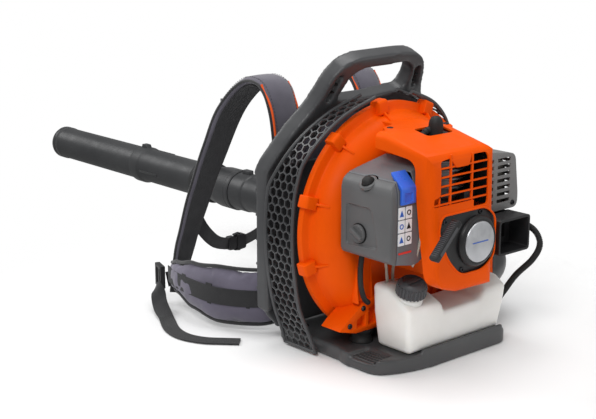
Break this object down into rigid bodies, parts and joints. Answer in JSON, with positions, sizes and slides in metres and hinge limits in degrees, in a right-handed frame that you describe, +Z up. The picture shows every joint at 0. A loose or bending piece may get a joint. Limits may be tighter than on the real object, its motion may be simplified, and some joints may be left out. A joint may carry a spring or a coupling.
{
  "type": "backpack leaf blower",
  "caption": "Petrol backpack leaf blower with a centrifugal fan behind a padded back frame, a side tube on a flexible hose, a control grip and a shoulder harness.",
  "frame": {"origin": "middle of the base plate's underside, on the ground", "axes": "+X to the operator's right, +Y forward, out of the back pad and along the blower tube, +Z up"},
  "size_m": [0.5727, 1.662, 0.4949],
  "materials": {
    "orange_plastic": "satin moulded plastic",
    "grey_plastic": "fine-grained moulded plastic",
    "light_grey_plastic": "fine-grained moulded plastic",
    "black_plastic": "fine-grained moulded plastic",
    "rubber": "matt",
    "blue_plastic": "satin",
    "tank_plastic": "translucent blow-moulded plastic",
    "clear_hose": "smooth translucent",
    "aluminium": "as cast",
    "steel": "machined",
    "cast_iron": "heat-stained pressed steel",
    "badge": "silver disc",
    "webbing": "woven",
    "mesh_fabric": "padded spacer mesh with piped edges",
    "grey_fabric": "padded woven cloth",
    "paper": "pleated filter paper"
  },
  "bodies": {
    "backpack": {"base_plate": "grey_plastic", "back_frame": "grey_plastic", "intake_screen_left": "grey_plastic", "intake_screen_right": "grey_plastic", "av_mount_left": "rubber", "av_mount_right": "rubber", "fan_housing_outer": "orange_plastic", "fan_housing_inner": "black_plastic", "crankcase": "aluminium", "cylinder": "aluminium", "piston": "aluminium", "connecting_rod": "steel", "spark_plug": "steel", "plug_boot": "rubber", "ignition_coil": "black_plastic", "carburettor": "aluminium", "engine_cover": "orange_plastic", "starter_housing": "black_plastic", "starter_badge": "badge", "starter_rope": "webbing", "filter_base": "light_grey_plastic", "filter_element": "paper", "muffler": "cast_iron", "muffler_guard": "grey_plastic", "exhaust_duct": "grey_plastic", "fuel_tank": "tank_plastic", "fuel_line_supply": "clear_hose", "fuel_line_return": "clear_hose", "outlet_elbow": "grey_plastic", "hose_bellows_rear": "rubber", "throttle_conduit": "rubber", "back_pad": "grey_fabric", "shoulder_strap_left": "mesh_fabric", "shoulder_strap_right": "mesh_fabric", "hip_belt_left": "grey_fabric", "hip_belt_right": "grey_fabric", "chest_strap": "webbing", "chest_buckle": "black_plastic", "hip_buckle": "black_plastic", "waist_strap_tail": "webbing"},
    "rotor": {"crankshaft": "steel", "flywheel": "aluminium", "fan_impeller": "black_plastic"},
    "starter_handle": {"starter_handle": "black_plastic"},
    "starter_pulley": {"starter_pulley": "black_plastic"},
    "filter_cover": {"filter_cover": "grey_plastic"},
    "cover_knob": {"cover_knob": "grey_plastic"},
    "primer_bulb": {"primer_bulb": "rubber"},
    "choke_lever": {"choke_lever": "blue_plastic"},
    "fuel_cap": {"fuel_cap": "grey_plastic"},
    "hose_ring": {"hose_ring": "grey_plastic", "hose_bellows_front": "rubber"},
    "control_tube": {"connector_tube": "grey_plastic", "tube_conduit": "rubber"},
    "mid_tube": {"mid_tube": "grey_plastic", "control_handle": "black_plastic"},
    "throttle_trigger": {"throttle_trigger": "black_plastic"},
    "cruise_lever": {"cruise_lever": "grey_plastic"},
    "stop_switch": {"stop_switch": "grey_plastic"},
    "nozzle": {"nozzle_tube": "grey_plastic"}
  },
  "joints": [
    {"name": "crank_spin", "type": "hinge", "parent": "backpack", "child": "rotor", "pos_m": [0.006, -0.078, 0.21], "axis": [0, 1, 0], "continuous": true},
    {"name": "starter_pull", "type": "slide", "parent": "backpack", "child": "starter_handle", "axis": [-0.722, 0, 0.6919], "range_m": [0, 0.6], "stiffness_N_per_m": 15, "springref_m": -0.2, "deforming": ["starter_rope"]},
    {"name": "starter_pulley_spin", "type": "hinge", "parent": "backpack", "child": "starter_pulley", "pos_m": [0.006, -0.147, 0.21], "axis": [0, -1, 0], "range_deg": [0, 1230]},
    {"name": "filter_cover_lift", "type": "slide", "parent": "backpack", "child": "filter_cover", "axis": [-1, 0, 0], "range_m": [0, 0.05]},
    {"name": "cover_knob_turn", "type": "hinge", "parent": "filter_cover", "child": "cover_knob", "pos_m": [-0.155, -0.052, 0.226], "axis": [1, 0, 0], "range_deg": [0, 90]},
    {"name": "primer_press", "type": "slide", "parent": "filter_cover", "child": "primer_bulb", "axis": [0.5501, 0, -0.8351], "range_m": [0, 0.004], "stiffness_N_per_m": 400, "springref_m": -0.0005},
    {"name": "choke_slide", "type": "slide", "parent": "backpack", "child": "choke_lever", "axis": [0, 0, 1], "range_m": [0, 0.01]},
    {"name": "fuel_cap_turn", "type": "hinge", "parent": "backpack", "child": "fuel_cap", "pos_m": [-0.067, -0.088, 0.1145], "axis": [-0.1, -0.2799, 0.9548], "range_deg": [0, 360]},
    {"name": "hose_yaw", "type": "hinge", "parent": "backpack", "child": "hose_ring", "pos_m": [0.24, 0.147, 0.097], "axis": [0, 0, 1], "range_deg": [-25, 4], "deforming": ["hose_bellows_rear"]},
    {"name": "hose_pitch", "type": "hinge", "parent": "hose_ring", "child": "control_tube", "pos_m": [0.24, 0.273, 0.097], "axis": [1, 0, 0], "range_deg": [-20, 35], "deforming": ["hose_bellows_front"]},
    {"name": "tube_roll", "type": "hinge", "parent": "control_tube", "child": "mid_tube", "pos_m": [0.24, 0.76, 0.097], "axis": [0, 1, 0], "range_deg": [-15, 25]},
    {"name": "throttle_squeeze", "type": "hinge", "parent": "mid_tube", "child": "throttle_trigger", "pos_m": [0.24, 0.7926, 0.2622], "axis": [-1, 0, 0], "range_deg": [0, 12], "stiffness_Nm_per_rad": 0.25, "springref_deg": -5.73},
    {"name": "cruise_set", "type": "hinge", "parent": "mid_tube", "child": "cruise_lever", "pos_m": [0.223, 0.7646, 0.2714], "axis": [-1, 0, 0], "range_deg": [0, 20]},
    {"name": "stop_slide", "type": "slide", "parent": "mid_tube", "child": "stop_switch", "axis": [0, 1, 0], "range_m": [0, 0.004]},
    {"name": "nozzle_twist", "type": "hinge", "parent": "mid_tube", "child": "nozzle", "pos_m": [0.24, 1.12, 0.097], "axis": [0, 1, 0], "range_deg": [0, 30]}
  ],
  "couplings": [
    {"joint": "starter_pulley_spin", "follows": "starter_pull", "rad_per_m": 35.714}
  ]
}
